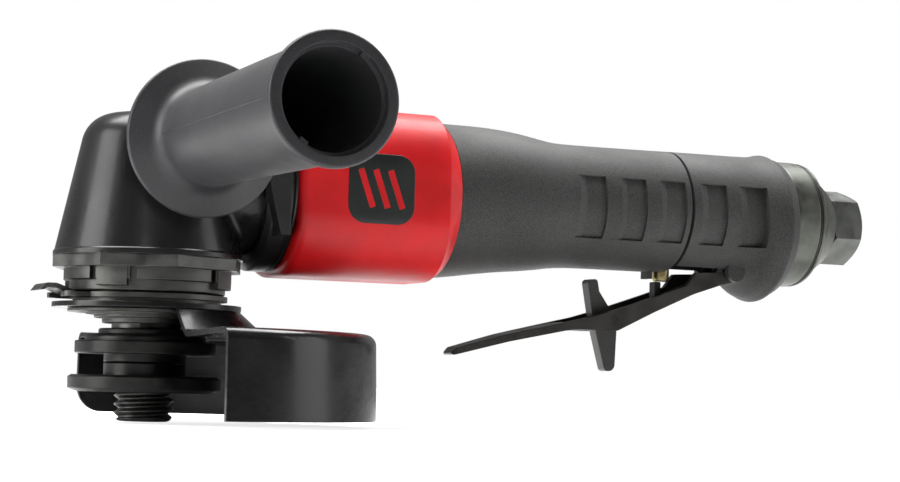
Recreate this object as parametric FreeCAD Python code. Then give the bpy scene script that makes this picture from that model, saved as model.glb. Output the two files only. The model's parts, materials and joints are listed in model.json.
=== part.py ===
import FreeCAD, Part
import math
import os

# Pneumatic angle grinder for 115 mm wheels, in millimetres.
# Origin: spindle axis at the wheel seat. +Z goes up the spindle into the head, +X runs along the
# motor to the air inlet, and the side handle points along -Y.
V = FreeCAD.Vector
X_AXIS = V(1, 0, 0)
Y_AXIS = V(0, 1, 0)
Z_AXIS = V(0, 0, 1)

# Driving dimensions
MOTOR_Z = 46.5            # motor axis above the wheel seat
THREAD_R = 7.94           # 5/8-11 UNC spindle thread
ENGAGED_R = 7.2           # the same thread inside the nut, at its pitch radius
FLANGE_BORE_R = 8.2       # seat of the inner flange on the spindle
THREAD_END = -18.0        # free end of the spindle
PILOT_R = 11.05           # fits the 22.2 mm arbor hole of a wheel
GUARD_R = 62.9            # outside of the guard's skirt
GUARD_TURN = 1.9          # the guard stands this many degrees round from the motor axis
CASE_BOTTOM = 25.9        # mouth of the gear case
CASE_TOP = 64.9
NECK_R = 18.35            # neck of the gear case, along the motor axis
HANDLE_X = 4.7            # axis of the two handle bosses
HANDLE_Z = 56.1
HANDLE_SEAT = 25.5        # face of a handle boss, from the spindle axis
BOSS_R = 8.7
STUD_R = 4.25             # M10 thread of the side handle
MOTOR_R = 18.9            # motor stack: end plates and cylinder
GRIP_SHIFT = 1.3          # the grip's centre sits above the motor axis
LEVER_PIVOT = (181.2, MOTOR_Z - 16.2)
LEVER_PIN_R = 1.5
LATCH_PIVOT = (140.3, MOTOR_Z - 31.7)
VALVE_X = 160.4
INLET_R = 5.56            # 1/4 NPT female thread
HOUSING_END = 195.3       # rear end of the alloy housing
RUN = 0.06                # radial clearance of a running fit


# ---- drawing helpers -------------------------------------------------------------------------

def rounded_wire(corners, place):
    """Closed wire through corners (a, b) or (a, b, radius); place turns (a, b) into a vector."""
    tangents = []
    for i, corner in enumerate(corners):
        here = V(corner[0], corner[1], 0)
        before = V(corners[i - 1][0], corners[i - 1][1], 0)
        after = V(corners[(i + 1) % len(corners)][0], corners[(i + 1) % len(corners)][1], 0)
        if len(corner) == 2:
            tangents.append((here, None, here))
            continue
        back = (before - here).normalize()
        ahead = (after - here).normalize()
        half = back.getAngle(ahead) / 2
        middle = (back + ahead).normalize()
        reach = corner[2] / math.tan(half)
        crown = here + middle * (corner[2] / math.sin(half) - corner[2])
        tangents.append((here + back * reach, crown, here + ahead * reach))
    edges = []
    for i, (start, crown, end) in enumerate(tangents):
        if crown is not None:
            edges.append(Part.Arc(place(start), place(crown), place(end)).toShape())
        following = tangents[(i + 1) % len(tangents)][0]
        if end.distanceToPoint(following) > 1e-6:
            edges.append(Part.LineSegment(place(end), place(following)).toShape())
    return Part.Wire(edges)


def turned_z(corners, angle=360, start=0):
    """Solid turned about the spindle axis from (radius, height) corners."""
    face = Part.Face(rounded_wire(corners, lambda p: V(p.x, 0, p.y)))
    solid = face.revolve(V(), Z_AXIS, angle)
    solid.rotate(V(), Z_AXIS, start)
    return solid


def turned_x(corners, shift=0):
    """Solid turned about the motor axis from (x, radius) corners."""
    centre = MOTOR_Z + shift
    face = Part.Face(rounded_wire(corners, lambda p: V(p.x, 0, centre + p.y)))
    return face.revolve(V(0, 0, centre), X_AXIS, 360)


def turned_handle(corners):
    """Solid turned about the side handle's axis from (distance along -Y, radius) corners."""
    face = Part.Face(rounded_wire(corners, lambda p: V(HANDLE_X, -p.x, HANDLE_Z + p.y)))
    return face.revolve(V(HANDLE_X, 0, HANDLE_Z), Y_AXIS, 360)


def ring_x(inner, outer, start, end):
    return turned_x([(start, inner), (end, inner), (end, outer), (start, outer)])


def rod_x(radius, start, end, y=0, z=MOTOR_Z):
    return Part.makeCylinder(radius, end - start, V(start, y, z), X_AXIS)


def rod_y(radius, start, end, x, z):
    return Part.makeCylinder(radius, end - start, V(x, start, z), Y_AXIS)


def rod_z(radius, start, end, x=0, y=0):
    return Part.makeCylinder(radius, end - start, V(x, y, start), Z_AXIS)


def box(x0, x1, y0, y1, z0, z1):
    return Part.makeBox(x1 - x0, y1 - y0, z1 - z0, V(x0, y0, z0))


def side_plate(corners, y0, y1):
    """Plate drawn in side view from (x, height) corners, between two values of Y."""
    face = Part.Face(rounded_wire(corners, lambda p: V(p.x, y0, p.y)))
    return face.extrude(V(0, y1 - y0, 0))


def from_axis(corners):
    """Corners whose second value is measured from the motor axis, as heights."""
    return [(c[0], MOTOR_Z + c[1]) + tuple(c[2:]) for c in corners]


def fused(shapes):
    return shapes[0].multiFuse(shapes[1:]).removeSplitter()


# ---- head ------------------------------------------------------------------------------------

def boss_seams(case):
    """Edges where the handle bosses meet the drum and the neck."""
    seams = []
    for edge in case.Edges:
        bounds = edge.BoundBox
        near = min(abs(bounds.YMin), abs(bounds.YMax))
        far = max(abs(bounds.YMin), abs(bounds.YMax))
        beside_boss = bounds.XMin > HANDLE_X - BOSS_R - 0.1 and bounds.XMax < HANDLE_X + BOSS_R + 0.1
        if edge.Curve.TypeId == "Part::GeomBSplineCurve" and beside_boss and near > 12 and far < HANDLE_SEAT - 0.1:
            seams.append(edge)
    return seams


def gear_case():
    drum = turned_z([(0, CASE_BOTTOM), (25.6, CASE_BOTTOM), (25.6, CASE_BOTTOM + 1.3, 0.4),
                     (25.2, CASE_BOTTOM + 1.7), (17.4, CASE_TOP, 9), (0, CASE_TOP)])
    case = fused([drum, rod_x(NECK_R, 0, 28)])
    seams = [e for e in case.Edges if e.Curve.TypeId == "Part::GeomBSplineCurve"]
    case = case.makeFillet(3.0, seams)
    case = fused([case, rod_y(BOSS_R, -HANDLE_SEAT, HANDLE_SEAT, HANDLE_X, HANDLE_Z)])
    case = case.makeFillet(2.0, boss_seams(case))
    gear_room = turned_z([(0, CASE_BOTTOM), (19.0, CASE_BOTTOM), (19.0, 41.0), (15.0, 53.5), (0, 53.5)])
    bearing_pocket = rod_z(11.0, 53.5, 60.8)
    relief = rod_z(6.0, 60.8, 62.0)
    pinion_room = rod_x(10.6, 0, 18.8)
    pinion_pocket = rod_x(13.0, 18.8, 28)
    handle_hole = rod_y(STUD_R, 13.8, HANDLE_SEAT, HANDLE_X, HANDLE_Z)
    mirrored_hole = rod_y(STUD_R, -HANDLE_SEAT, -13.8, HANDLE_X, HANDLE_Z)
    for room in (gear_room, bearing_pocket, relief, pinion_room, pinion_pocket, handle_hole, mirrored_hole):
        case = case.cut(room)
    return case


def bearing_cap():
    """Octagonal flange, castellated ring and neck that the guard turns on."""
    corners = [V(26.3 * math.cos(math.radians(a)), 26.3 * math.sin(math.radians(a)), 22.7)
               for a in range(0, 361, 45)]
    flange = Part.Face(Part.makePolygon(corners)).extrude(V(0, 0, CASE_BOTTOM - 22.7))
    body = turned_z([(0, 11.9), (18.0, 11.9), (18.0, 16.4), (20.9, 16.4, 0.4), (20.9, 19.3),
                     (22.5, 19.3, 0.3), (22.5, 22.7), (18.95, CASE_BOTTOM), (18.95, 28.9), (0, 28.9)])
    lugs = []
    for k in range(4):
        lug = turned_z([(18.5, 17.6), (22.9, 17.6, 0.4), (22.9, 22.7), (18.5, 22.7)], 22, -142.3 + 90 * k)
        lugs.append(lug)
    cap = fused([flange, body] + lugs)
    for k in range(4):
        for side in (-15.2, 15.2):
            notch = box(20.9, 24, -1.0, 1.0, 17, 22.7)
            notch.rotate(V(), Z_AXIS, -131.3 + 90 * k + side)
            cap = cap.cut(notch)
    cap = cap.cut(rod_z(16.0, 18.5, 30))
    return cap.cut(rod_z(10.5, 11, 19))


def guard_retainer():
    """Stepped nose under the guard; its rim keeps the guard on the neck."""
    return turned_z([(10.5, 8.2), (11.9, 8.2, 0.3), (11.9, 9.6), (14.1, 9.6, 0.3), (14.1, 10.6),
                     (16.3, 10.6), (16.3, 11.1), (21.2, 11.1), (21.2, 11.85), (10.5, 11.85)])


def wheel_guard():
    """Pressed sheet: full ring on the neck, then a dome, shoulder and skirt over half a turn."""
    neck_r = 18.0 + RUN
    ring = turned_z([(neck_r, 12.1), (25.4, 12.1), (25.4, 13.5), (neck_r, 13.5)])
    skirt = [(22.5, 13.5), (23.4, 13.5, 2.0), (32.0, 5.9, 2.5), (62.2, 6.9, 3.0), (GUARD_R, -16.5),
             (GUARD_R - 1.5, -16.5), (61.0, 5.4, 1.8), (31.45, 4.45, 3.9), (22.9, 12.1, 1.5), (22.5, 12.1)]
    shell = turned_z(skirt, 180, -90)
    tail = 7.5
    corner = box(-1, tail, 40, 70, -17.5, -16.5 + tail)
    corner = corner.cut(rod_y(tail, 40, 70, tail, -16.5 + tail))
    shell = shell.cut(corner)
    shell.rotate(V(), Z_AXIS, GUARD_TURN)
    return fused([ring, shell])


def latch_plate():
    """Spring-steel plate on the guard's ring; its front lobe is split round the thumb tab."""
    hub = turned_z([(18.0 + RUN, 13.5), (19.9, 13.5), (19.9, 14.6), (18.0 + RUN, 14.6)])
    disc = rod_z(21.6, 14.6, 16.0)
    lobe = box(-25.4, 0, -11.0, 11.0, 14.6, 16.0)
    lobe = lobe.makeFillet(3.0, [e for e in lobe.Edges if abs(e.CenterOfMass.x + 25.4) < 0.01
                                 and abs(e.CenterOfMass.z - 15.3) < 0.01])
    plate = fused([hub, disc.fuse(lobe).cut(rod_z(18.0 + RUN, 14, 17))])
    return plate.cut(box(-26, -20.2, -6.3, 6.3, 13, 17))


def guard_latch():
    """Thumb tab with a rolled root, curled up in front of the guard's ring."""
    blade = side_plate([(-21.3, 14.8), (-21.3, 16.2), (-23.6, 17.1, 2), (-26.4, 18.1, 2.5), (-29.2, 18.1, 1.2),
                        (-30.6, 16.2), (-29.8, 16.2, 0.4), (-28.8, 16.8, 0.6), (-26.6, 16.8, 2),
                        (-23.6, 15.6, 2)], -6, 6)
    return fused([blade, rod_y(0.7, -6, 6, -21.3, 15.5)])


def spindle():
    shaft = turned_z([(0, THREAD_END), (THREAD_R, THREAD_END, 2.0), (THREAD_R, -10.3), (ENGAGED_R, -10.3),
                      (ENGAGED_R, -2.3), (FLANGE_BORE_R, -2.3), (FLANGE_BORE_R, 6.8), (9.3, 6.8), (9.3, 16.5),
                      (7.5, 16.5), (7.5, 28.0), (7.0, 28.0), (7.0, 38.5), (5.5, 38.5), (5.5, 53.8),
                      (4.0, 53.8), (4.0, 60.8), (0, 60.8)])
    for side in (-1, 1):
        flat = box(-10, 10, 8.3, 12, 6.9, 9.8)
        flat.rotate(V(), Z_AXIS, 90 + 90 * side)
        shaft = shaft.cut(flat)
    return shaft


def inner_flange():
    return turned_z([(FLANGE_BORE_R, -2.2), (PILOT_R, -2.2, 0.3), (PILOT_R, 0), (18.9, 0, 0.3),
                     (18.9, 3.4, 0.4), (16.2, 3.4), (16.2, 5.3, 1.3), (12.7, 5.3), (12.7, 6.8, 0.6),
                     (FLANGE_BORE_R, 6.8)])


def outer_flange_nut():
    nut = turned_z([(ENGAGED_R, -10.2), (18.1, -10.2), (20.5, -9.4, 0.3), (20.5, -6.3), (19.6, -5.7),
                    (PILOT_R, -5.7), (PILOT_R, -2.4, 0.3), (ENGAGED_R, -2.4)])
    for side in (-1, 1):
        nut = nut.cut(rod_z(2.6, -10.3, -7.0, 0, 15.0 * side))
    return nut


# ---- bevel gears -----------------------------------------------------------------------------

GEAR_TEETH = 25
PINION_TEETH = 13
GEAR_PITCH_R = 17.0
CONE = math.hypot(GEAR_PITCH_R, GEAR_PITCH_R * PINION_TEETH / GEAR_TEETH)
TOOTH_PITCH = 2 * math.pi * GEAR_PITCH_R / GEAR_TEETH
SMALL_END = 0.69          # scale of the tooth at its inner end
ADDENDUM = 1.05
DEDENDUM = 1.5
APEX = V(0, 0, MOTOR_Z)


def bevel_tooth(pitch_angle, axis, out):
    """One straight bevel tooth: every edge runs towards the apex."""
    along = out * math.sin(pitch_angle) + axis * math.cos(pitch_angle)
    normal = out * math.cos(pitch_angle) - axis * math.sin(pitch_angle)
    side = axis.cross(out)
    ends = []
    for scale in (1.0, SMALL_END):
        section = []
        for across, height in ((-0.33, -1.8), (-0.13, ADDENDUM), (0.13, ADDENDUM), (0.33, -1.8)):
            point = along * CONE + side * (across * TOOTH_PITCH) + normal * height
            section.append(APEX + point * scale)
        ends.append(section)
    big, small = ends
    loops = [big, small] + [[big[i - 1], big[i], small[i], small[i - 1]] for i in range(4)]
    faces = [Part.Face(Part.makePolygon(loop + [loop[0]])) for loop in loops]
    tooth = Part.Solid(Part.Shell(faces))
    if tooth.Volume < 0:
        tooth.reverse()
    return tooth


def toothed(blank, count, pitch_angle, axis, out, phase):
    teeth = []
    for i in range(count):
        tooth = bevel_tooth(pitch_angle, axis, out)
        tooth.rotate(APEX, axis, phase + 360 * i / count)
        teeth.append(tooth)
    return blank.multiFuse(teeth)


def bevel_gear():
    blank = turned_z([(7.0, 28.0), (9.4, 28.0), (9.4, 30.6), (15.6, 31.6, 0.6), (16.31, 33.0), (16.31, 36.33),
                      (11.25, 39.48), (8.6, 38.5), (7.0, 38.5)])
    pitch_angle = math.atan2(GEAR_TEETH, PINION_TEETH)
    return toothed(blank, GEAR_TEETH, pitch_angle, V(0, 0, -1), X_AXIS, 180 / GEAR_TEETH)


def bevel_pinion():
    blank = turned_x([(12.2, 0), (12.2, 5.18), (17.69, 7.51), (18.4, 7.0), (18.6, 6.4), (18.6, 5.0),
                      (34.6, 5.0), (34.6, 3.4), (24.0, 3.4), (24.0, 0)])
    pitch_angle = math.atan2(PINION_TEETH, GEAR_TEETH)
    return toothed(blank, PINION_TEETH, pitch_angle, X_AXIS, V(0, 0, -1), 0)


# ---- bearings --------------------------------------------------------------------------------

def ball_bearing(bore_r, outer_r, width, balls, turn):
    """Inner ring, outer ring and balls of a deep-groove bearing; turn makes a ring about its axis."""
    depth = outer_r - bore_r
    pitch_r = (outer_r + bore_r) / 2
    ball_r = 0.29 * depth
    groove = Part.makeTorus(pitch_r, ball_r + 0.03)
    rings = []
    for inner, outer in ((bore_r, bore_r + 0.3 * depth), (outer_r - 0.3 * depth, outer_r)):
        ring = Part.makeCylinder(outer, width, V(0, 0, -width / 2))
        ring = ring.cut(Part.makeCylinder(inner, width, V(0, 0, -width / 2)))
        rings.append(ring.cut(groove))
    spheres = []
    for i in range(balls):
        angle = 2 * math.pi * i / balls
        spheres.append(Part.makeSphere(ball_r, V(pitch_r * math.cos(angle), pitch_r * math.sin(angle), 0)))
    return [turn(shape) for shape in (rings[0], rings[1], Part.makeCompound(spheres))]


def at_spindle(middle):
    """Places a shape drawn about Z with its middle at this height on the spindle axis."""
    def place(shape):
        shape.translate(V(0, 0, middle))
        return shape
    return place


def at_motor(middle):
    """Places a shape drawn about Z with its middle at this x on the motor axis."""
    def place(shape):
        shape.rotate(V(), Y_AXIS, 90)
        shape.translate(V(middle, 0, MOTOR_Z))
        return shape
    return place


# ---- motor -----------------------------------------------------------------------------------

MOTOR_START = 46.0        # cylinder, between the end plates
MOTOR_END = 80.0
ROTOR_R = 14.1
BORE_R = 15.6
BORE_SHIFT = 1.4          # the cylinder's bore is off centre, which makes the crescent chambers
VANES = 5
PIN_Z = MOTOR_Z + 16.6


def motor_cylinder():
    body = rod_x(MOTOR_R, MOTOR_START, MOTOR_END)
    body = body.cut(rod_x(BORE_R, MOTOR_START, MOTOR_END, 0, MOTOR_Z - BORE_SHIFT))
    body = body.cut(rod_x(1.2, MOTOR_START, MOTOR_END, 0, PIN_Z))
    for i in range(4):
        start = MOTOR_START + 5 + 6.6 * i
        body = body.cut(box(start, start + 4, -20, -12, MOTOR_Z - 8, MOTOR_Z + 1))
    return body


def rotor():
    core = turned_x([(24.2, 0), (24.2, 3.4), (35.0, 3.4), (35.0, 5.0), (MOTOR_START + 0.1, 5.0),
                     (MOTOR_START + 0.1, ROTOR_R), (MOTOR_END - 0.1, ROTOR_R), (MOTOR_END - 0.1, 5.0),
                     (84.8, 5.0), (84.8, 4.0), (92.0, 4.0), (92.0, 0)])
    for i in range(VANES):
        slot = box(MOTOR_START, MOTOR_END, -1.05, 1.05, MOTOR_Z + 7.2, MOTOR_Z + 16)
        slot.rotate(APEX, X_AXIS, 360 * i / VANES)
        core = core.cut(slot)
    return core


def rotor_vanes():
    blades = []
    for i in range(VANES):
        blade = box(MOTOR_START + 0.2, MOTOR_END - 0.2, -0.95, 0.95, MOTOR_Z + 7.4, MOTOR_Z + 14.02)
        blade.rotate(APEX, X_AXIS, 360 * i / VANES)
        blades.append(blade)
    return Part.makeCompound(blades)


def front_end_plate():
    plate = turned_x([(35.0, 13.0), (35.0, 15.5), (40.0, 15.5), (40.0, MOTOR_R), (MOTOR_START, MOTOR_R),
                      (MOTOR_START, 5.3), (43.0, 5.3), (43.0, 13.0)])
    return plate.cut(rod_x(1.2, 42.0, MOTOR_START, 0, PIN_Z))


def rear_end_plate():
    plate = turned_x([(MOTOR_END, 5.3), (MOTOR_END, MOTOR_R), (86.0, MOTOR_R), (86.0, 14.2), (92.5, 14.2),
                      (92.5, 11.0), (84.8, 11.0), (84.8, 5.3)])
    return plate.cut(rod_x(1.2, MOTOR_END, 84.0, 0, PIN_Z))


def alignment_pin():
    return rod_x(1.2, 42.0, 84.0, 0, PIN_Z)


# ---- housing and covers ----------------------------------------------------------------------

HOUSING_OUTSIDE = [(35.2, 21.0), (84.0, 21.0), (86.0, 19.2), (94.0, 18.2), (112.0, 15.0), (HOUSING_END, 15.0)]
SLOT_HALF = 7.9           # half width of the slot that takes the lever's ears
LEVER_SLOT = (160.3, 184.4)


def housing_outside():
    return turned_x([(35.2, 0)] + HOUSING_OUTSIDE + [(HOUSING_END, 0)])


def lever_room():
    """Space the lever's ears and post sweep inside the grip and the housing."""
    ears = box(LEVER_SLOT[0], LEVER_SLOT[1], -SLOT_HALF, SLOT_HALF, 0, MOTOR_Z - 12.9)
    post = box(156.6, 160.4, -2.2, 2.2, 0, MOTOR_Z - 14.9)
    return ears.fuse(post)


def pin_cheeks():
    """Two cheeks of the rear grip that carry the lever's pin."""
    cheeks = []
    for y0 in (-SLOT_HALF - 2.0, SLOT_HALF):
        cheek = rod_y(3.0, y0, y0 + 2.0, *LEVER_PIVOT)
        web = box(LEVER_PIVOT[0] - 3, LEVER_PIVOT[0] + 3, y0, y0 + 2.0, LEVER_PIVOT[1], MOTOR_Z - 9)
        cheeks.append(cheek.fuse(web))
    return cheeks


def motor_housing():
    body = housing_outside()
    body = body.cut(turned_x([(35.2, 0), (35.2, MOTOR_R), (86.0, MOTOR_R), (86.0, 14.2), (93.5, 14.2),
                              (93.5, 12.5), (HOUSING_END, 12.5), (HOUSING_END, 0)]))
    body = body.cut(lever_room())
    body = body.cut(rod_y(LEVER_PIN_R, -12, 12, *LEVER_PIVOT))
    return body.cut(rod_z(4.0, 20, MOTOR_Z - 9, VALVE_X))


def adapter_ring():
    """Black ring between the gear case and the cover, with a gusset on each side."""
    ring = turned_x([(26.6, NECK_R), (26.6, 20.6), (28.0, 22.6, 0.8), (32.2, 22.6), (32.6, 22.0), (33.2, 22.0),
                     (33.6, 22.6), (34.2, 22.6), (34.2, 20.8), (35.0, 20.8), (35.0, 15.6), (28.0, 15.6),
                     (28.0, NECK_R)])
    gusset = from_axis([(31.6, -13.7), (28.9, -13.7), (25.4, 0.0), (25.4, 12.0), (31.6, 12.0)])
    pieces = [ring]
    for y0 in (-24.6, 18.0):
        pieces.append(side_plate(gusset, y0, y0 + 6.6).cut(rod_x(20.0, 25, 35)))
    return fused(pieces)


def rounded_square(x, half, radius):
    corners = [(-half, -half, radius), (half, -half, radius), (half, half, radius), (-half, half, radius)]
    return rounded_wire(corners, lambda p: V(x, p.x, MOTOR_Z + p.y))


def red_cover():
    """Cover with a rounded-square section that narrows to the round grip at its rear."""
    front = Part.Face(rounded_square(34.5, 23.85, 17.0)).extrude(V(78.8 - 34.5, 0, 0))
    edges = [e for e in front.Edges if abs(e.CenterOfMass.x - 34.5) < 0.01]
    front = front.makeFillet(2.4, edges)
    rear = Part.makeLoft([rounded_square(78.8, 23.85, 17.0), rounded_square(83.0, 22.4, 22.3)], True, True)
    return fused([front, rear]).cut(rod_x(21.0, 34, 84))


def grip_section(x, top, bottom):
    """Circle that reaches this far above and below the motor axis."""
    radius = (top + bottom) / 2
    centre = MOTOR_Z + (top - bottom) / 2
    return Part.Wire(Part.makeCircle(radius, V(x, 0, centre), X_AXIS))


def eased(table, x, column):
    """Value of one column at x, on a cubic curve through the table's rows."""
    def slope(i):
        low = table[max(i - 1, 0)]
        high = table[min(i + 1, len(table) - 1)]
        return (high[column] - low[column]) / (high[0] - low[0])
    i = 0
    while i < len(table) - 2 and x > table[i + 1][0]:
        i += 1
    span = table[i + 1][0] - table[i][0]
    t = (x - table[i][0]) / span
    start, end = table[i][column], table[i + 1][column]
    return (start * (1 + 2 * t) * (1 - t) ** 2 + end * t * t * (3 - 2 * t)
            + slope(i) * span * t * (1 - t) ** 2 - slope(i + 1) * span * t * t * (1 - t))


def grip_loft(table, steps):
    """Smooth sleeve through (x, top, bottom) rows, drawn with evenly spaced sections."""
    start, end = table[0][0], table[-1][0]
    sections = []
    for i in range(steps + 1):
        x = start + (end - start) * i / steps
        sections.append(grip_section(x, eased(table, x, 1), eased(table, x, 2)))
    return Part.makeLoft(sections, True, steps == 1)


def pad_cutter(start, side):
    """Shallow recess on the side of the grip: level over its rear part, fading out to the front."""
    length = 9.4
    ramp = 3.0
    patch = box(start, start + length, min(8 * side, 30 * side), max(8 * side, 30 * side),
                MOTOR_Z - 9, MOTOR_Z + 9)
    centre = V(start - 0.01, 0, MOTOR_Z + GRIP_SHIFT)
    core = Part.makeCone(18.6, 17.55, ramp + 0.01, centre, X_AXIS)
    core = core.fuse(Part.makeCylinder(17.55, length - ramp + 0.02, centre + X_AXIS * (ramp + 0.01), X_AXIS))
    return patch.cut(core)


def with_pads(grip, starts):
    for start in starts:
        for side in (-1, 1):
            grip = grip.cut(pad_cutter(start, side))
    return grip


def grip_front():
    """Rubber sleeve behind the cover, with a small ledge in front of the valve plunger."""
    body = grip_loft([(83.1, 22.6, 21.9), (87.0, 22.6, 21.7), (91.0, 22.6, 21.2), (97.4, 22.5, 20.3),
                      (104.0, 22.1, 19.5), (110.6, 21.3, 18.9), (117.0, 20.2, 18.2), (122.0, 19.6, 17.5),
                      (128.0, 19.5, 17.1), (144.0, 19.6, 17.0), (160.0, 19.8, 17.0)], 16)
    ledge = box(154.6, 156.3, -2, 2, MOTOR_Z - 19.1, MOTOR_Z - 15)
    body = fused([body, ledge]).cut(housing_outside()).cut(lever_room())
    body = body.cut(rod_z(3.0, 20, MOTOR_Z - 9, VALVE_X))
    return with_pads(body, (122.2, 135.6, 149.0))


def grip_rear():
    """Rubber sleeve at the inlet end, flared below into a stop for the hand."""
    body = grip_loft([(161.0, 19.8, 17.0), (172.0, 19.9, 17.05), (181.0, 19.95, 17.3), (185.5, 20.0, 18.9),
                      (188.0, 20.05, 22.0), (190.5, 20.3, 23.8), (193.3, 20.9, 24.5)], 18)
    band = grip_loft([(193.3, 20.6, 24.2), (196.2, 20.0, 22.8)], 1)
    body = fused([body, band]).cut(housing_outside()).cut(lever_room())
    body = fused([body] + [cheek.cut(housing_outside()) for cheek in pin_cheeks()])
    body = body.cut(rod_y(LEVER_PIN_R, -9.6, 9.6, *LEVER_PIVOT)).cut(rod_x(15.3, HOUSING_END - 0.3, 197))
    body = body.cut(rod_z(3.0, 20, MOTOR_Z - 9, VALVE_X))
    return with_pads(body, (163.2, 177.1))


# ---- throttle valve and lever ----------------------------------------------------------------

def valve_body():
    """Core of the grip: air comes in from the rear, past the valve, and on to the motor."""
    body = rod_x(12.5, 136, 188)
    body = body.cut(box(135, 189, -13, 13, MOTOR_Z + 9.5, MOTOR_Z + 14))
    body = body.cut(rod_x(9.5, 178, 188)).cut(rod_x(6.5, 168, 178))
    body = body.cut(rod_x(3.5, VALVE_X, 169, 0, MOTOR_Z + 1.0))
    body = body.cut(rod_x(1.9, 136, VALVE_X, 0, MOTOR_Z - 7.4))
    body = body.cut(rod_z(4.5, MOTOR_Z - 9.4, MOTOR_Z + 8.0, VALVE_X))
    return body.cut(rod_z(4.0, MOTOR_Z - 13, MOTOR_Z - 9.4, VALVE_X)).cut(lever_room())


def valve_bushing():
    bush = rod_z(4.0, MOTOR_Z - 13.9, MOTOR_Z - 9.4, VALVE_X)
    bush = bush.cut(rod_z(2.5 + RUN, MOTOR_Z - 15, MOTOR_Z - 9, VALVE_X))
    return bush.cut(lever_room())


def valve_seat():
    seat = rod_z(4.5, MOTOR_Z - 5.2, MOTOR_Z - 3.4, VALVE_X)
    return seat.cut(rod_z(2.6, MOTOR_Z - 6, MOTOR_Z - 3, VALVE_X))


def valve_plunger():
    """Brass button under the grip, with the thin stem that lifts the valve."""
    button = rod_z(2.5, MOTOR_Z - 19.7, MOTOR_Z - 10.0, VALVE_X)
    button = button.makeChamfer(0.3, [e for e in button.Edges if abs(e.CenterOfMass.z - MOTOR_Z + 19.7) < 0.01])
    return button.fuse(rod_z(1.3, MOTOR_Z - 10.0, MOTOR_Z - 3.3, VALVE_X)).removeSplitter()


def throttle_valve():
    return rod_z(3.5, MOTOR_Z - 3.3, MOTOR_Z - 1.6, VALVE_X)


def coil(radius, wire_r, pitch, height):
    """Helical spring about Z, standing on z = 0."""
    helix = Part.makeHelix(pitch, height, radius)
    section = Part.Wire(Part.makeCircle(wire_r, V(radius, 0, 0), Y_AXIS))
    return Part.Wire(helix.Edges).makePipeShell([section], True, True)


def valve_spring():
    spring = coil(2.4, 0.35, 1.7, 8.5)
    spring.translate(V(VALVE_X, 0, MOTOR_Z - 1.2))
    return spring


def lever():
    """Pressed channel, open towards the grip: a solid tongue in front, ears at the pivot."""
    outline = from_axis([(89.4, -43.5, 0.5), (91.6, -41.6, 0.8), (107.0, -37.3, 60), (133.3, -31.4, 40),
                         (142.8, -28.6), (157.3, -23.8), (165.2, -21.0), (168.4, -16.9, 0.8), (178.6, -16.4),
                         (180.4, -13.7, 1.5), (183.6, -13.7, 2.2), (183.6, -18.7, 2.2), (177.0, -20.4, 4),
                         (167.8, -23.4, 30), (153.9, -29.5), (141.6, -35.4, 3), (126.7, -35.4, 30),
                         (107.0, -39.6), (90.6, -43.9, 0.5)])
    body = side_plate(outline, -7.4, 7.4)
    plan = [(89.0, -3.4, 3.3), (89.0, 3.4, 3.3), (97.0, 4.4, 12), (124.0, 7.4, 30), (190.0, 7.4), (190.0, -7.4),
            (124.0, -7.4, 30), (97.0, -4.4, 12)]
    body = body.common(Part.Face(rounded_wire(plan, lambda p: V(p.x, p.y, 0))).extrude(V(0, 0, 40)))
    trough = from_axis([(122.0, -33.2, 1), (122.0, -10), (190.0, -10), (190.0, -22.0), (178.0, -17.6),
                        (167.8, -21.2), (154.2, -27.3), (141.4, -33.5), (137.0, -33.5), (128.0, -33.4)])
    body = body.cut(side_plate(trough, -5.7, 5.7))
    post = from_axis([(157.5, -28.2), (157.5, -19.9, 0.4), (159.5, -19.9, 0.4), (159.5, -26.2)])
    body = body.fuse(side_plate(post, -1.6, 1.6)).removeSplitter()
    body = body.cut(rod_y(LEVER_PIN_R + RUN, -8, 8, *LEVER_PIVOT))
    latch_slot = box(130.5, 152.0, -2.3, 2.3, 0, MOTOR_Z - 20)
    body = body.cut(latch_slot)
    return body.cut(rod_y(1.2, -8, 8, *LATCH_PIVOT))


def lever_pin():
    return rod_y(LEVER_PIN_R, -9.6, 9.6, *LEVER_PIVOT)


def safety_latch():
    """Lock-off latch through the lever: its upper arm meets the grip until it is swung aside."""
    arm = from_axis([(134.2, -20.2, 1.2), (137.6, -20.0, 1.0), (138.3, -23.6), (139.3, -25.0), (142.6, -29.5),
                     (144.4, -35.5), (143.9, -47.3, 2.0), (140.6, -47.2, 1.3), (137.6, -36.6), (136.0, -30.0)])
    return side_plate(arm, -1.9, 1.9).cut(rod_y(1.2 + RUN, -3, 3, *LATCH_PIVOT))


def latch_pin():
    return rod_y(1.2, -7.3, 7.3, *LATCH_PIVOT)


def latch_spring():
    """Small torsion spring on the latch's pin."""
    spring = coil(1.5, 0.22, 0.6, 1.8)
    spring.rotate(V(), X_AXIS, -90)
    spring.translate(V(LATCH_PIVOT[0], 3.2, LATCH_PIVOT[1]))
    return spring


# ---- inlet end -------------------------------------------------------------------------------

HEX_FLATS = 20.6
HEX_TURN = 39.4           # angle of one corner of the inlet's hexagon
SCREEN_R = 5.2


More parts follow.
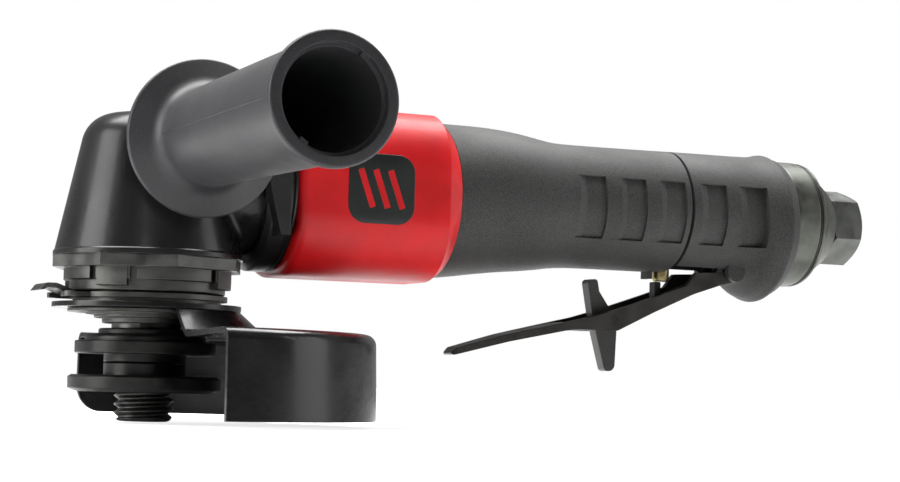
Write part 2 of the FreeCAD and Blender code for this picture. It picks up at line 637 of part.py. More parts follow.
def inlet_bushing():
    corner_r = HEX_FLATS / 2 / math.cos(math.pi / 6)
    points = []
    for i in range(7):
        angle = math.radians(HEX_TURN + 60 * i)
        points.append(V(216.4, -corner_r * math.cos(angle), MOTOR_Z + corner_r * math.sin(angle)))
    hexagon = Part.Face(Part.makePolygon(points)).extrude(V(10.6, 0, 0))
    chamfer = turned_x([(216.4, 0), (216.4, 11.2), (216.9, 12.2), (225.5, 12.2), (227.0, 9.9), (227.0, 0)])
    barrel = turned_x([(178.0, 0), (178.0, 9.5), (216.4, 9.5), (216.4, 0)])
    body = fused([hexagon.common(chamfer), barrel])
    body = body.cut(rod_x(INLET_R, 214.0, 228)).cut(rod_x(SCREEN_R, 212.8, 214.0))
    return body.cut(rod_x(4.5, 177, 212.8))


def inlet_screen():
    screen = rod_x(SCREEN_R, 212.8, 213.6)
    for i in range(7):
        angle = 2 * math.pi * i / 6
        reach = 0 if i == 6 else 3.1
        hole = rod_x(1.0, 212, 215, reach * math.cos(angle), MOTOR_Z + reach * math.sin(angle))
        screen = screen.cut(hole)
    return screen


def end_cap():
    """Conical cap clamped by the inlet's hexagon; its spigot carries the exhaust collar."""
    return turned_x([(195.4, 9.5), (195.4, 15.2), (205.4, 15.2), (205.4, 17.6), (206.3, 17.6), (206.3, 19.2),
                     (207.1, 19.2, 0.4), (209.8, 16.4, 4), (215.4, 12.4, 0.4), (215.4, 11.0), (216.4, 11.0),
                     (216.4, 9.5)])


def collar_oring():
    return ring_x(17.6, 19.0, 205.55, 206.2)


def exhaust_collar():
    return turned_x([(196.4, 15.2 + RUN), (196.4, 19.1, 0.3), (197.8, 19.35), (205.25, 19.35, 0.4),
                     (205.25, 15.2 + RUN)])


def silencer():
    return ring_x(9.6, 12.4, 188.3, 195.0)


# ---- side handle -----------------------------------------------------------------------------

def side_handle():
    """Hollow moulded handle with a dished flange that guards the hand."""
    outside = [(HANDLE_SEAT, 0), (HANDLE_SEAT, 11.0, 0.5), (29.0, 20.1), (30.0, 20.7, 0.6), (31.6, 20.7, 0.6),
               (34.5, 12.9, 5.0), (50.0, 13.1), (119.6, 14.1, 0.5), (120.2, 15.5, 0.5), (122.3, 15.5, 0.7),
               (122.3, 0)]
    body = turned_handle(outside)
    bore = turned_handle([(44.0, 0), (44.0, 10.6, 2), (120.3, 11.9), (120.3, 12.7), (122.3, 12.8), (122.3, 0)])
    stud_room = turned_handle([(HANDLE_SEAT, 0), (HANDLE_SEAT, 5.0), (36.0, 5.0), (36.0, 7.5), (41.0, 7.5),
                               (41.0, 0)])
    body = body.cut(bore).cut(stud_room)
    nibs = []
    for side in (-1, 1):
        nib = turned_handle([(118.8, 11.6), (121.6, 11.6), (121.6, 13.6), (118.8, 13.6)])
        wedge = box(HANDLE_X - 1.3, HANDLE_X + 1.3, -124, -118, HANDLE_Z + min(9 * side, 16 * side),
                    HANDLE_Z + max(9 * side, 16 * side))
        wedge.rotate(V(HANDLE_X, 0, HANDLE_Z), Y_AXIS, 35)
        nibs.append(nib.common(wedge))
    return fused([body] + nibs)


def handle_stud():
    """Steel stud moulded into the handle: hexagon-sized head, shank and M10 end."""
    return turned_handle([(14.2, 0), (14.2, STUD_R - 0.6), (14.8, STUD_R), (HANDLE_SEAT, STUD_R),
                          (HANDLE_SEAT, 5.0), (36.0, 5.0), (36.0, 7.5), (41.0, 7.5), (41.0, 0)])


# ---- write every piece -----------------------------------------------------------------------

pieces = {}
for builder in (gear_case, bearing_cap, guard_retainer, wheel_guard, latch_plate, guard_latch, spindle,
                inner_flange, outer_flange_nut, bevel_gear, bevel_pinion, motor_cylinder, rotor, rotor_vanes,
                front_end_plate, rear_end_plate, alignment_pin, motor_housing, adapter_ring, red_cover,
                grip_front, grip_rear, valve_body, valve_bushing, valve_seat, valve_plunger, throttle_valve,
                valve_spring, lever, lever_pin, safety_latch, latch_pin, latch_spring, inlet_bushing,
                inlet_screen, end_cap, collar_oring, exhaust_collar, silencer, side_handle, handle_stud):
    pieces[builder.__name__] = builder()

BEARINGS = {
    "spindle_lower": (7.5, 16.0, 9.0, 9, at_spindle(23.0)),
    "spindle_upper": (4.0, 11.0, 7.0, 7, at_spindle(57.3)),
    "pinion": (5.0, 13.0, 8.0, 7, at_motor(23.0)),
    "rotor_front": (5.0, 13.0, 8.0, 7, at_motor(39.0)),
    "rotor_rear": (4.0, 11.0, 7.0, 7, at_motor(88.3)),
}
for name, sizes in BEARINGS.items():
    inner, outer, balls = ball_bearing(*sizes)
    pieces[name + "_inner_race"] = inner
    pieces[name + "_outer_race"] = outer
    pieces[name + "_balls"] = balls

os.makedirs("parts", exist_ok=True)
for name, shape in pieces.items():
    shape.exportStep("parts/" + name + ".step")
    print(name, shape.ShapeType, len(shape.Solids), "solids", round(shape.Volume), "mm3", shape.isValid())
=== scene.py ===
# %% [markdown]
# # A pneumatic angle grinder
#
# This lesson dresses an angle grinder that was designed in CAD. The CAD parts come in as a fixed
# frame: they already have the right size and place, so nothing here moves them. Blender adds what
# CAD leaves out, such as soft castings, real threads, moulded grain, paint and light.
# Everything is in metres. The origin is on the spindle, where the wheel sits, +Z goes up through
# the head, +X runs along the motor to the air inlet, and the side handle points along -Y.

# %% Load the frame
import bpy
import json
import math
from mathutils import Matrix, Vector


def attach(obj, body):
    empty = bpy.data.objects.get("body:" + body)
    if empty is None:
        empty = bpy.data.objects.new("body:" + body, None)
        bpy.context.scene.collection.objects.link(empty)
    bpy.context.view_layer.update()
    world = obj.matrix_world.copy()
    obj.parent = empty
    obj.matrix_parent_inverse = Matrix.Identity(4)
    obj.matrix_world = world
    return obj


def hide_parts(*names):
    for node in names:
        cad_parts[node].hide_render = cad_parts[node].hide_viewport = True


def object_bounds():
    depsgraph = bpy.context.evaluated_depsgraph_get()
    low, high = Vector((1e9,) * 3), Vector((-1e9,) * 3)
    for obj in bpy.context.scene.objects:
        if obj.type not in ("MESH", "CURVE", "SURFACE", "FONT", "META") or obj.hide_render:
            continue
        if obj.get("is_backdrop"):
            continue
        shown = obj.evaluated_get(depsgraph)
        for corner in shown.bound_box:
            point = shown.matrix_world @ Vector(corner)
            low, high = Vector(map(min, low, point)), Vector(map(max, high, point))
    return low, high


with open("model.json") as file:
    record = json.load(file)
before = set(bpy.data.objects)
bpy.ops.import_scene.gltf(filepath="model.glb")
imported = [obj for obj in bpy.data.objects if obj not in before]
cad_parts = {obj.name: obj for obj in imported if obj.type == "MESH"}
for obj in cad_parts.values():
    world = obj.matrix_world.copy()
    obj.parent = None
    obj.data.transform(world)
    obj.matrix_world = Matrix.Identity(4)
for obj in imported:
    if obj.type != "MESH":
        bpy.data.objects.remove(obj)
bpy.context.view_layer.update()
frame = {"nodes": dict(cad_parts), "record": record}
nodes = frame["nodes"]
MM = 0.001
AXIS_Z = 46.5 * MM          # height of the motor axis


# %% [markdown]
# ## Wiring a material
#
# Each finish is a small network of nodes around one Principled shader. Patterns are driven by
# Object coordinates: because every piece sits at the origin unscaled, those are real metres, and a
# noise scale of 1000 means features about one millimetre across. Three helpers keep the
# networks short: one adds a node, one makes noise, and one maps a pattern to a useful range.

# %% Node helpers
def add_node(tree, kind, **values):
    node = tree.nodes.new("ShaderNode" + kind)
    for name, value in values.items():
        node.inputs[name.replace("_", " ")].default_value = value
    return node


def noise(tree, place, scale, detail=2.0):
    pattern = add_node(tree, "TexNoise", Scale=scale, Detail=detail)
    tree.links.new(place, pattern.inputs["Vector"])
    return pattern.outputs["Fac"]


def spread(tree, pattern, low, high, start=0.35, end=0.65):
    """The pattern's values between start and end, stretched to run from low to high."""
    stretch = add_node(tree, "MapRange", From_Min=start, From_Max=end, To_Min=low, To_Max=high)
    tree.links.new(pattern, stretch.inputs["Value"])
    return stretch.outputs["Result"]


def mixed(tree, share, first, second):
    """Colour between two colours; either may be a plain colour or another node's output."""
    mix = tree.nodes.new("ShaderNodeMix")
    mix.data_type = "RGBA"
    tree.links.new(share, mix.inputs["Factor"])
    for socket, colour in ((mix.inputs[6], first), (mix.inputs[7], second)):
        if isinstance(colour, tuple):
            socket.default_value = (*colour, 1.0)
        else:
            tree.links.new(colour, socket)
    return mix.outputs[2]


def start_material(name):
    material = bpy.data.materials.new(name)
    material.use_nodes = True
    tree = material.node_tree
    place = tree.nodes.new("ShaderNodeTexCoord").outputs["Object"]
    return material, tree, tree.nodes["Principled BSDF"], place


def raise_surface(tree, shader, pattern, height):
    """Bump whose height is in metres, on top of edges that are a little rounded."""
    bump = add_node(tree, "Bump", Distance=height)
    soft_edge = add_node(tree, "Bevel", Radius=0.3 * MM)
    soft_edge.samples = 6
    tree.links.new(soft_edge.outputs["Normal"], bump.inputs["Normal"])
    tree.links.new(pattern, bump.inputs["Height"])
    tree.links.new(bump.outputs["Normal"], shader.inputs["Normal"])
    return bump


# %% [markdown]
# ## Worn edges
#
# Handling rubs paint and oxide off the sharp edges first. The Bevel node gives the normal that a
# slightly rounded edge would have; where it differs from the true normal there is an edge. Times a
# noise, that makes an uneven rub, which reads as real use and not as a drawn outline.

# %% Edge mask
def rubbed_edges(tree, place, width, amount):
    rounded = add_node(tree, "Bevel", Radius=width)
    rounded.samples = 4
    flat = tree.nodes.new("ShaderNodeNewGeometry")
    facing = tree.nodes.new("ShaderNodeVectorMath")
    facing.operation = "DOT_PRODUCT"
    tree.links.new(rounded.outputs["Normal"], facing.inputs[0])
    tree.links.new(flat.outputs["Normal"], facing.inputs[1])
    edge = spread(tree, facing.outputs["Value"], amount, 0.0, 0.75, 0.985)
    patchy = spread(tree, noise(tree, place, 900.0), 0.2, 1.0)
    product = tree.nodes.new("ShaderNodeMath")
    product.operation = "MULTIPLY"
    tree.links.new(edge, product.inputs[0])
    tree.links.new(patchy, product.inputs[1])
    return product.outputs["Value"]


# %% [markdown]
# ## Gloss black enamel
#
# The gear case and the wheel guard are painted. Sprayed enamel is never quite flat: it has an
# orange peel a millimetre or two across, and it is a little duller in patches where hands and dust
# have been. A thin clear coat gives the sharp highlight over the softer one.

# %% Enamel
def enamel(name, colour, gloss, rub):
    material, tree, shader, place = start_material(name)
    patches = noise(tree, place, 60.0, 4.0)
    deep = tuple(c * 0.75 for c in colour)
    paint = mixed(tree, spread(tree, patches, 0.0, 1.0), deep, colour)
    worn = rubbed_edges(tree, place, 0.35 * MM, rub)
    tree.links.new(mixed(tree, worn, paint, (0.16, 0.16, 0.165)), shader.inputs["Base Color"])
    tree.links.new(spread(tree, patches, gloss, gloss + 0.12), shader.inputs["Roughness"])
    shader.inputs["Coat Weight"].default_value = 0.08
    shader.inputs["Specular IOR Level"].default_value = 0.3
    shader.inputs["Coat Roughness"].default_value = 0.08
    raise_surface(tree, shader, noise(tree, place, 520.0), 0.03 * MM)
    return material


# %% [markdown]
# ## Moulded plastic and rubber
#
# The mould is spark-eroded, so plastic leaves it with a fine even grain. Rubber is rougher, and
# its filler shows as pale and dark specks. Both use the same network: a grain noise drives the
# bump and the specks, and a slow noise varies the gloss from patch to patch.

# %% Grained surfaces
def grained(name, dark, pale, roughness, grain, height, sheen=0.0):
    material, tree, shader, place = start_material(name)
    fine = noise(tree, place, 1.0 / grain, 3.0)
    tree.links.new(mixed(tree, spread(tree, fine, 0.0, 1.0), dark, pale), shader.inputs["Base Color"])
    slow = noise(tree, place, 45.0, 3.0)
    tree.links.new(spread(tree, slow, roughness - 0.06, roughness + 0.06), shader.inputs["Roughness"])
    shader.inputs["Sheen Weight"].default_value = sheen
    shader.inputs["Sheen Roughness"].default_value = 0.4
    raise_surface(tree, shader, fine, height)
    return material


# %% [markdown]
# ## Turned and ground metal
#
# A lathe leaves fine rings round its axis. In the material, a point's distance from the axis and
# its place along the axis replace x, y and z, so the noise is the same all the way round and makes
# rings. The same network serves the spindle's parts, about Z, and the motor's, about X.

# %% Machined metal
def lathe_place(tree, place, axis):
    """(distance from the axis, place along the axis, 0) as a texture coordinate."""
    about_z = axis == "Z"
    parts = tree.nodes.new("ShaderNodeSeparateXYZ")
    tree.links.new(place, parts.inputs["Vector"])
    across = add_node(tree, "CombineXYZ")
    tree.links.new(parts.outputs["X" if about_z else "Z"], across.inputs["X"])
    tree.links.new(parts.outputs["Y"], across.inputs["Y"])
    centred = tree.nodes.new("ShaderNodeVectorMath")
    centred.operation = "SUBTRACT"
    centred.inputs[1].default_value = (0.0 if about_z else AXIS_Z, 0.0, 0.0)
    tree.links.new(across.outputs["Vector"], centred.inputs[0])
    length = tree.nodes.new("ShaderNodeVectorMath")
    length.operation = "LENGTH"
    tree.links.new(centred.outputs["Vector"], length.inputs[0])
    joined = add_node(tree, "CombineXYZ")
    tree.links.new(length.outputs["Value"], joined.inputs["X"])
    tree.links.new(parts.outputs["Z" if about_z else "X"], joined.inputs["Y"])
    return joined.outputs["Vector"]


def machined(name, colour, roughness, axis=None, rub=0.3, metallic=1.0):
    material, tree, shader, place = start_material(name)
    shader.inputs["Metallic"].default_value = metallic
    patches = noise(tree, place, 160.0, 4.0)
    dull = tuple(c * 0.6 for c in colour)
    surface = mixed(tree, spread(tree, patches, 0.0, 1.0), dull, colour)
    bright = tuple(min(1.0, c * 2.0 + 0.08) for c in colour)
    worn = rubbed_edges(tree, place, 0.25 * MM, rub)
    tree.links.new(mixed(tree, worn, surface, bright), shader.inputs["Base Color"])
    tree.links.new(spread(tree, patches, roughness - 0.07, roughness + 0.09), shader.inputs["Roughness"])
    grooves = noise(tree, lathe_place(tree, place, axis) if axis else place, 4000.0 if axis else 1800.0)
    raise_surface(tree, shader, grooves, 0.012 * MM)
    return material


# %% [markdown]
# ## Dressing the CAD nodes
#
# The frame's record names a finish for every node. A dictionary turns each name into a material, so
# a loop can dress all the nodes, including the ones that only show when the tool is taken apart.

# %% Dress the CAD nodes
MATERIALS = {
    "case_paint": enamel("case_paint", (0.009, 0.009, 0.009), 0.24, 0.12),
    "guard_paint": enamel("guard_paint", (0.006, 0.006, 0.006), 0.16, 0.5),
    "cover_red": enamel("cover_red", (0.62, 0.005, 0.008), 0.42, 0.0),
    "adapter_black": grained("adapter_black", (0.006, 0.006, 0.006), (0.012, 0.012, 0.011), 0.42,
                             0.5 * MM, 0.008 * MM),
    "grip_rubber": grained("grip_rubber", (0.010, 0.010, 0.0095), (0.038, 0.038, 0.036), 0.66,
                           0.35 * MM, 0.06 * MM, 0.08),
    "handle_plastic": grained("handle_plastic", (0.012, 0.012, 0.0135), (0.027, 0.027, 0.030), 0.46,
                              0.3 * MM, 0.02 * MM, 0.04),
    "seal_rubber": grained("seal_rubber", (0.006, 0.006, 0.006), (0.012, 0.012, 0.012), 0.5, 0.5 * MM,
                           0.01 * MM),
    "silencer_felt": grained("silencer_felt", (0.22, 0.22, 0.20), (0.42, 0.42, 0.39), 0.9, 0.4 * MM,
                             0.2 * MM, 0.4),
    "vane_resin": grained("vane_resin", (0.14, 0.07, 0.03), (0.26, 0.15, 0.07), 0.5, 0.6 * MM, 0.02 * MM),
    "latch_black": grained("latch_black", (0.014, 0.013, 0.012), (0.032, 0.030, 0.028), 0.42, 0.4 * MM,
                           0.02 * MM),
    "lever_black": machined("lever_black", (0.030, 0.027, 0.025), 0.40, None, 0.2, 0.4),
    "cap_steel": machined("cap_steel", (0.10, 0.10, 0.095), 0.40, "Z"),
    "black_oxide": machined("black_oxide", (0.030, 0.030, 0.029), 0.36, "Z", 0.35, 0.8),
    "spindle_steel": machined("spindle_steel", (0.12, 0.12, 0.115), 0.36, "Z"),
    "spring_steel": machined("spring_steel", (0.10, 0.10, 0.095), 0.38),
    "gear_steel": machined("gear_steel", (0.42, 0.42, 0.42), 0.26),
    "bearing_steel": machined("bearing_steel", (0.60, 0.60, 0.61), 0.12),
    "motor_iron": machined("motor_iron", (0.30, 0.30, 0.30), 0.4, "X"),
    # housing_alloy is a dark grey partly as painted shade: where the housing shows in the thin seam between
    # the grips it stays dark.
    "housing_alloy": machined("housing_alloy", (0.14, 0.14, 0.145), 0.5, "X", 0.1),
    "brass": machined("brass", (0.70, 0.58, 0.28), 0.3),
    "inlet_steel": machined("inlet_steel", (0.15, 0.155, 0.145), 0.42, "X", 0.2),
    "end_alloy": machined("end_alloy", (0.13, 0.135, 0.12), 0.44, "X", 0.2),
    "emblem_black": grained("emblem_black", (0.006, 0.008, 0.007), (0.012, 0.015, 0.013), 0.4, 0.3 * MM,
                            0.004 * MM),
}

for row in frame["record"]["subparts"]:
    mesh = nodes[row["node"]].data
    mesh.materials.clear()
    mesh.materials.append(MATERIALS[row["material_slot"]])
print("finishes:", len(MATERIALS))


# %% [markdown]
# ## Turning a profile
#
# Most of this tool is turned, so one helper draws a profile and spins it. It starts from a plane
# merged to a single vertex, extrudes that vertex from corner to corner, and spins the line.
# Corners may carry a radius, and a second helper replaces those by short arcs.

# %% Profile helpers
def eased_corners(corners, steps=6):
    """(a, b) points in metres from (a, b) or (a, b, radius) corners in millimetres."""
    points = []
    for i, corner in enumerate(corners):
        here = Vector((corner[0], corner[1])) * MM
        if len(corner) == 2:
            points.append(here)
            continue
        back = (Vector(corners[i - 1][:2]) * MM - here).normalized()
        ahead = (Vector(corners[i + 1][:2]) * MM - here).normalized()
        half = back.angle(ahead) / 2
        radius = corner[2] * MM
        centre = here + (back + ahead).normalized() * (radius / math.sin(half))
        first = here + back * (radius / math.tan(half)) - centre
        last = here + ahead * (radius / math.tan(half)) - centre
        for k in range(steps + 1):
            direction = first.slerp(last, k / steps)
            points.append(centre + direction.normalized() * radius)
    return points


def draw_line(name, points):
    """Object whose mesh is a chain of edges through the points."""
    bpy.ops.object.select_all(action="DESELECT")
    bpy.ops.mesh.primitive_plane_add(size=MM, location=(0.0, 0.0, 0.0))
    piece = bpy.context.active_object
    piece.name = name
    bpy.ops.object.mode_set(mode="EDIT")
    bpy.ops.mesh.select_all(action="SELECT")
    bpy.ops.mesh.merge(type="CENTER")
    bpy.ops.transform.translate(value=points[0])
    for before, after in zip(points, points[1:]):
        bpy.ops.mesh.extrude_region_move(TRANSFORM_OT_translate={"value": after - before})
    bpy.ops.object.mode_set(mode="OBJECT")
    return piece


def tidy_mesh(piece):
    """Merge the seam and turn every normal outwards."""
    bpy.context.view_layer.objects.active = piece
    bpy.ops.object.mode_set(mode="EDIT")
    bpy.ops.mesh.select_all(action="SELECT")
    bpy.ops.mesh.remove_doubles(threshold=0.001 * MM)
    bpy.ops.mesh.normals_make_consistent(inside=False)
    bpy.ops.object.mode_set(mode="OBJECT")


def turned(name, corners, place, centre, axis, steps=96):
    """Solid turned about an axis; place puts a profile point (a, b) in space."""
    piece = draw_line(name, [place(p) for p in eased_corners(corners)])
    bpy.ops.object.mode_set(mode="EDIT")
    bpy.ops.mesh.select_all(action="SELECT")
    bpy.ops.mesh.spin(steps=steps, angle=2 * math.pi, center=centre, axis=axis)
    bpy.ops.object.mode_set(mode="OBJECT")
    tidy_mesh(piece)
    return piece


def on_spindle(p):
    return Vector((p.x, 0.0, p.y))


def block(name, low, high):
    """Box between two corners given in millimetres."""
    bpy.ops.object.select_all(action="DESELECT")
    bpy.ops.mesh.primitive_cube_add(size=1.0, location=(0.0, 0.0, 0.0))
    piece = bpy.context.active_object
    piece.name = name
    low, high = Vector(low) * MM, Vector(high) * MM
    bpy.ops.object.mode_set(mode="EDIT")
    bpy.ops.mesh.select_all(action="SELECT")
    bpy.ops.transform.resize(value=high - low, center_override=(0.0, 0.0, 0.0))
    bpy.ops.transform.translate(value=(low + high) / 2)
    bpy.ops.object.mode_set(mode="OBJECT")
    return piece


def combine(piece, other, operation):
    """Boolean with another object, which is used up."""
    bpy.context.view_layer.objects.active = piece
    modifier = piece.modifiers.new("combine", "BOOLEAN")
    modifier.operation = operation
    modifier.solver = "EXACT"
    modifier.object = other
    bpy.ops.object.modifier_apply(modifier=modifier.name)
    bpy.data.objects.remove(other, do_unlink=True)
    return piece


def select_edges(piece, axis, longer_than):
    """In edit mode, select the edges that run this far along one axis (0, 1 or 2)."""
    bpy.ops.object.mode_set(mode="EDIT")
    bpy.ops.mesh.select_mode(type="EDGE")
    bpy.ops.mesh.select_all(action="DESELECT")
    bpy.ops.object.mode_set(mode="OBJECT")
    for edge in piece.data.edges:
        start, end = (piece.data.vertices[i].co for i in edge.vertices)
        edge.select = abs(start[axis] - end[axis]) > longer_than
    bpy.ops.object.mode_set(mode="EDIT")


def rotate_about_y(angle, centre):
    """Turn the mesh being edited about an axis along Y; without a window, positive is clockwise."""
    bpy.ops.object.mode_set(mode="EDIT")
    bpy.ops.mesh.select_all(action="SELECT")
    bpy.ops.transform.rotate(value=math.radians(angle), orient_axis="Y", center_override=centre)
    bpy.ops.object.mode_set(mode="OBJECT")


def finish_piece(piece, material, smooth_angle=30.0):
    """Clean mesh, smooth shading below an angle, and one material."""
    tidy_mesh(piece)
    bpy.ops.object.select_all(action="DESELECT")
    piece.select_set(True)
    bpy.context.view_layer.objects.active = piece
    bpy.ops.object.shade_smooth_by_angle(angle=math.radians(smooth_angle))
    piece.data.materials.clear()
    piece.data.materials.append(MATERIALS[material])
    print(piece.name, "faces:", len(piece.data.polygons))


# %% [markdown]
# ## A real thread
#
# CAD keeps the spindle's thread as a plain rod. Here a zigzag as long as the thread is turned once
# by the Screw modifier while it climbs by exactly one pitch. Each tooth then lands on the next
# one, so merging the seam leaves one continuous helix. A turned envelope rounds the end.

# %% Threaded spindle
PITCH = 25.4 / 11           # 5/8-11 UNC, in millimetres
MAJOR_R = 7.94
MINOR_R = 6.8
THREAD_START = -26.0        # below the spindle's end, so that the first turn can be cut away
THREAD_TURNS = 9
CREST = PITCH / 14          # half the flat on top of a tooth
ROOT = PITCH * 0.06         # half the flat between two teeth


def thread_line():
    corners = []
    for k in range(THREAD_TURNS):
        crest = THREAD_START + k * PITCH
        root = crest + PITCH / 2
        corners += [(MAJOR_R, crest - CREST), (MAJOR_R, crest + CREST)]
        corners += [(MINOR_R, root - ROOT), (MINOR_R, root + ROOT)]
    return [on_spindle(Vector(c) * MM) for c in corners]


def slice_off(piece, z, keep_above):
    """Cut a piece at a height in millimetres and close the cut."""
    bpy.context.view_layer.objects.active = piece
    bpy.ops.object.mode_set(mode="EDIT")
    bpy.ops.mesh.select_all(action="SELECT")
    bpy.ops.mesh.bisect(plane_co=(0.0, 0.0, z * MM), plane_no=(0.0, 0.0, 1.0), use_fill=True,
                        clear_inner=keep_above, clear_outer=not keep_above)
    bpy.ops.object.mode_set(mode="OBJECT")


def threaded_spindle():
    thread = draw_line("spindle_threaded", thread_line())
    climb = thread.modifiers.new("climb", "SCREW")
    climb.axis = "Z"
    climb.angle = 2 * math.pi
    climb.screw_offset = PITCH * MM
    climb.steps = 72
    climb.render_steps = 72
    bpy.ops.object.modifier_apply(modifier=climb.name)
    tidy_mesh(thread)
    slice_off(thread, -19.0, True)
    slice_off(thread, -10.3, False)
    tidy_mesh(thread)
    envelope = turned("envelope", [(0.0, -18.0), (7.97, -18.0, 2.0), (7.97, -9.0), (0.0, -9.0)],
                      on_spindle, (0.0, 0.0, 0.0), (0.0, 0.0, 1.0))
    combine(thread, envelope, "INTERSECT")
    shaft = turned("shaft", [(0.0, -11.2), (6.2, -11.2), (6.2, -10.7), (7.2, -10.2), (7.2, -2.3), (8.2, -2.3),
                             (8.2, 6.8), (9.3, 6.8), (9.3, 16.5), (7.5, 16.5), (7.5, 28.0), (7.0, 28.0),
                             (7.0, 38.5), (5.5, 38.5), (5.5, 53.8), (4.0, 53.8), (4.0, 60.8), (0.0, 60.8)],
                   on_spindle, (0.0, 0.0, 0.0), (0.0, 0.0, 1.0))
    for side in (-1, 1):
        flat = block("flat", (-10.0, min(8.3 * side, 12 * side), 6.9), (10.0, max(8.3 * side, 12 * side), 9.8))
        combine(shaft, flat, "DIFFERENCE")
    combine(thread, shaft, "UNION")
    finish_piece(thread, "spindle_steel", 25.0)
    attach(thread, "output")
    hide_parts("spindle")


threaded_spindle()


# %% [markdown]
# ## The moulded handle
#
# The side handle is moulded in two halves, which leaves a fine raised line along both sides. The
# line is a slice of a slightly larger copy of the outside, kept only in a thin slab.

# %% Side handle
HANDLE_X, HANDLE_Z = 4.7 * MM, 56.1 * MM
BARREL = [(25.5, 11.0, 0.5), (29.0, 20.1), (30.0, 20.7, 0.6), (31.6, 20.7, 0.6), (34.5, 12.9, 5.0),
          (50.0, 13.1), (119.6, 14.1, 0.5), (120.2, 15.5, 0.5), (122.3, 15.5, 0.7)]
LINE_HEIGHT = 0.12
HOLLOW = [(122.3, 12.8), (120.3, 12.7), (120.3, 11.9), (44.0, 10.6, 2.0), (44.0, 0.0)]


def on_handle(p):
    return Vector((HANDLE_X, -p.x, HANDLE_Z + p.y))


def about_handle(name, corners):
    return turned(name, corners, on_handle, (HANDLE_X, 0.0, HANDLE_Z), (0.0, 1.0, 0.0), 128)


def moulded_handle():
    stud_room = [(41.0, 0.0), (41.0, 7.5), (36.0, 7.5), (36.0, 5.0), (25.5, 5.0)]
    handle = about_handle("side_handle_moulded", stud_room + BARREL + HOLLOW)
    raised = [(c[0], c[1] + LINE_HEIGHT) + tuple(c[2:]) for c in BARREL[4:7]]
    line = about_handle("parting_line", [(32.5, 11.0), (32.5, 17.5)] + raised + [(119.9, 12.5), (32.5, 11.0)])
    slab = block("slab", (-20.0, -121.0, 55.95), (30.0, -30.0, 56.25))
    combine(line, slab, "INTERSECT")
    combine(handle, line, "UNION")
    for turn in (-35.0, 145.0):
        nib = block("nib", (3.6, -121.6, 67.7), (5.8, -118.8, 69.5))
        rotate_about_y(turn, (HANDLE_X, 0.0, HANDLE_Z))
        combine(handle, nib, "UNION")
    finish_piece(handle, "handle_plastic")
    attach(handle, "tool")
    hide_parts("side_handle")


moulded_handle()


# %% [markdown]
# ## A plain emblem
#
# The cover carries a dark badge. Its outline is cut out of a thin skin that follows the cover's
# rounded square, so the badge hugs the curve. Slanted bars are left open and show the red beneath.

# %% Emblem
BAR_SLANT = 20.0            # degrees


def rounded_prism(name, half, radius, x0, x1):
    """Square bar along the motor axis with its long edges rounded, in millimetres."""
    bar = block(name, (x0, -half, 46.5 - half), (x1, half, 46.5 + half))
    select_edges(bar, 0, 5 * MM)
    bpy.ops.mesh.bevel(offset=radius * MM, segments=32)
    bpy.ops.object.mode_set(mode="OBJECT")
    return bar


def emblem():
    badge = rounded_prism("cover_emblem", 23.93, 17.08, 47.0, 69.0)
    combine(badge, rounded_prism("under", 23.80, 16.95, 46.0, 70.0), "DIFFERENCE")
    outline = block("outline", (48.2, -30.0, 37.2), (67.8, -10.0, 56.4))
    select_edges(outline, 1, 5 * MM)
    bpy.ops.mesh.bevel(offset=5.0 * MM, segments=10)
    bpy.ops.object.mode_set(mode="OBJECT")
    combine(badge, outline, "INTERSECT")
    for shift in (-5.4, -1.0, 3.4):
        bar = block("bar", (58.1 + shift, -30.0, 41.3), (59.9 + shift, -10.0, 52.3))
        rotate_about_y(BAR_SLANT, ((59.0 + shift) * MM, 0.0, 46.8 * MM))
        combine(badge, bar, "DIFFERENCE")
    finish_piece(badge, "emblem_black")
    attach(badge, "tool")


emblem()


# %% [markdown]
# ## The camera
#
# The camera stands low in front of the head and looks slightly up, with a long lens. Its direction
# is built from yaw and pitch, and a small roll tips the horizon.

# %% Camera
def aim_camera():
    data = bpy.data.cameras.new("camera")
    data.lens = 84.2
    data.sensor_width = 36.0
    data.clip_start = 0.01
    data.clip_end = 50.0
    camera = bpy.data.objects.new("camera", data)
    bpy.context.scene.collection.objects.link(camera)
    yaw, pitch, roll = math.radians(24.8), math.radians(4.0), math.radians(1.44)
    ahead = Vector((math.sin(yaw) * math.cos(pitch), math.cos(yaw) * math.cos(pitch), math.sin(pitch)))
    level = Vector((math.cos(yaw), -math.sin(yaw), 0.0))
    upright = level.cross(ahead)
    right = level * math.cos(roll) + upright * math.sin(roll)
    up = upright * math.cos(roll) - level * math.sin(roll)
    turn = Matrix((right, up, -ahead)).transposed()
    camera.matrix_world = Matrix.Translation((-0.1649, -0.5513, -0.0070)) @ turn.to_4x4()
    bpy.context.scene.camera = camera


aim_camera()


# %% [markdown]
# ## The studio
#
# A dark tool on white needs contrast in what it reflects. The world is white for camera rays. For
# every other ray it is bright, except in a wide cone in front of the tool, where it falls to
# nearly black. Faces turned towards the viewer stay deep, and edges and tops catch the light.

# %% Studio
FRONT = Vector((-0.44, -0.89, -0.03)).normalized()
ROOM_BRIGHT = 0.30
ROOM_DARK = 0.03


def softbox(name, place, size, power, target=(0.09, 0.0, 0.04)):
    data = bpy.data.lights.new(name, "AREA")
    data.shape = "RECTANGLE"
    data.size, data.size_y = size
    data.energy = power
    light = bpy.data.objects.new(name, data)
    bpy.context.scene.collection.objects.link(light)
    light.location = place
    light.rotation_euler = (Vector(target) - Vector(place)).to_track_quat("-Z", "Y").to_euler()


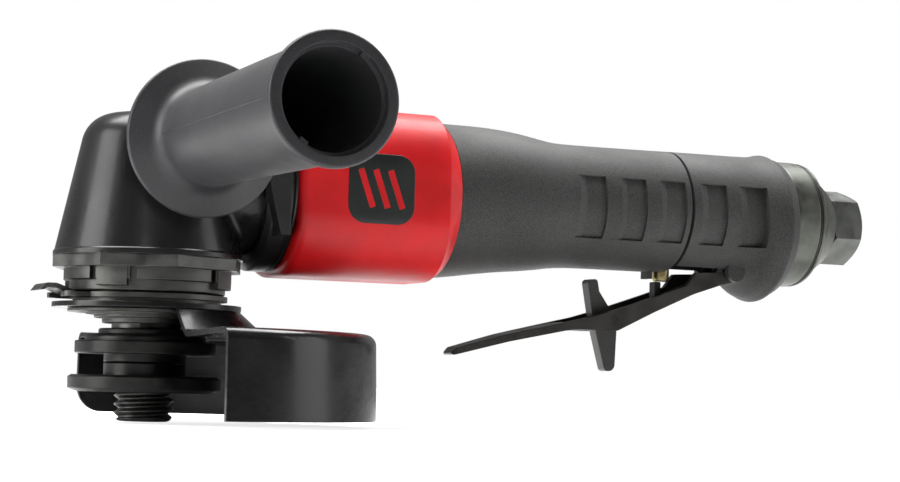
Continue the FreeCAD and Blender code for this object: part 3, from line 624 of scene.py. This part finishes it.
def studio():
    world = bpy.data.worlds.new("studio")
    bpy.context.scene.world = world
    world.use_nodes = True
    tree = world.node_tree
    backdrop = tree.nodes["Background"]
    backdrop.inputs["Color"].default_value = (1.0, 1.0, 1.0, 1.0)
    backdrop.inputs["Strength"].default_value = 1.0
    direction = tree.nodes.new("ShaderNodeTexCoord").outputs["Generated"]
    ahead = tree.nodes.new("ShaderNodeVectorMath")
    ahead.operation = "DOT_PRODUCT"
    ahead.inputs[1].default_value = FRONT
    tree.links.new(direction, ahead.inputs[0])
    room = tree.nodes.new("ShaderNodeBackground")
    room.inputs["Color"].default_value = (1.0, 1.0, 1.0, 1.0)
    tree.links.new(spread(tree, ahead.outputs["Value"], ROOM_BRIGHT, ROOM_DARK, 0.05, 0.75),
                   room.inputs["Strength"])
    rays = tree.nodes.new("ShaderNodeLightPath")
    choose = tree.nodes.new("ShaderNodeMixShader")
    tree.links.new(rays.outputs["Is Camera Ray"], choose.inputs["Fac"])
    tree.links.new(room.outputs["Background"], choose.inputs[1])
    tree.links.new(backdrop.outputs["Background"], choose.inputs[2])
    tree.links.new(choose.outputs["Shader"], tree.nodes["World Output"].inputs["Surface"])
    softbox("overhead", (0.10, 0.16, 0.75), (1.1, 0.40), 18.0)
    softbox("left", (-0.80, 0.05, 0.30), (0.5, 0.6), 6.0)
    softbox("right", (0.90, -0.35, 0.25), (0.4, 0.6), 1.5)
    softbox("fill", (-0.35, -0.90, 0.40), (0.2, 0.2), 0.6, (0.0, -0.1, 0.05))


studio()


# %% [markdown]
# ## The floor
#
# The floor is a large pale disc just under the tool. To the camera it glows a little, more with
# distance, so that it meets the white backdrop without a horizon line. Like the world, it keeps
# that glow from the tool, which sees only a plain lit floor.

# %% Floor
def floor():
    bpy.ops.object.select_all(action="DESELECT")
    bpy.ops.mesh.primitive_circle_add(vertices=96, radius=12.0, fill_type="NGON",
                                      location=(0.0, 0.0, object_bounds()[0].z - 0.0005))
    ground = bpy.context.active_object
    ground.name = "floor"
    material, tree, shader, place = start_material("floor_white")
    shader.inputs["Base Color"].default_value = (0.86, 0.86, 0.86, 1.0)
    shader.inputs["Roughness"].default_value = 0.7
    distance = tree.nodes.new("ShaderNodeVectorMath")
    distance.operation = "LENGTH"
    tree.links.new(place, distance.inputs[0])
    shader.inputs["Emission Color"].default_value = (1.0, 1.0, 1.0, 1.0)
    glow = tree.nodes.new("ShaderNodeMath")
    glow.operation = "MULTIPLY"
    tree.links.new(spread(tree, distance.outputs["Value"], 0.75, 1.05, 0.2, 0.9), glow.inputs[0])
    tree.links.new(tree.nodes.new("ShaderNodeLightPath").outputs["Is Camera Ray"], glow.inputs[1])
    tree.links.new(glow.outputs["Value"], shader.inputs["Emission Strength"])
    ground.data.materials.append(material)
    ground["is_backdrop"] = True


floor()

# %% [markdown]
# ## Finish
#
# The Standard view keeps white white.

# %% Finish
bpy.context.scene.view_settings.view_transform = "Standard"
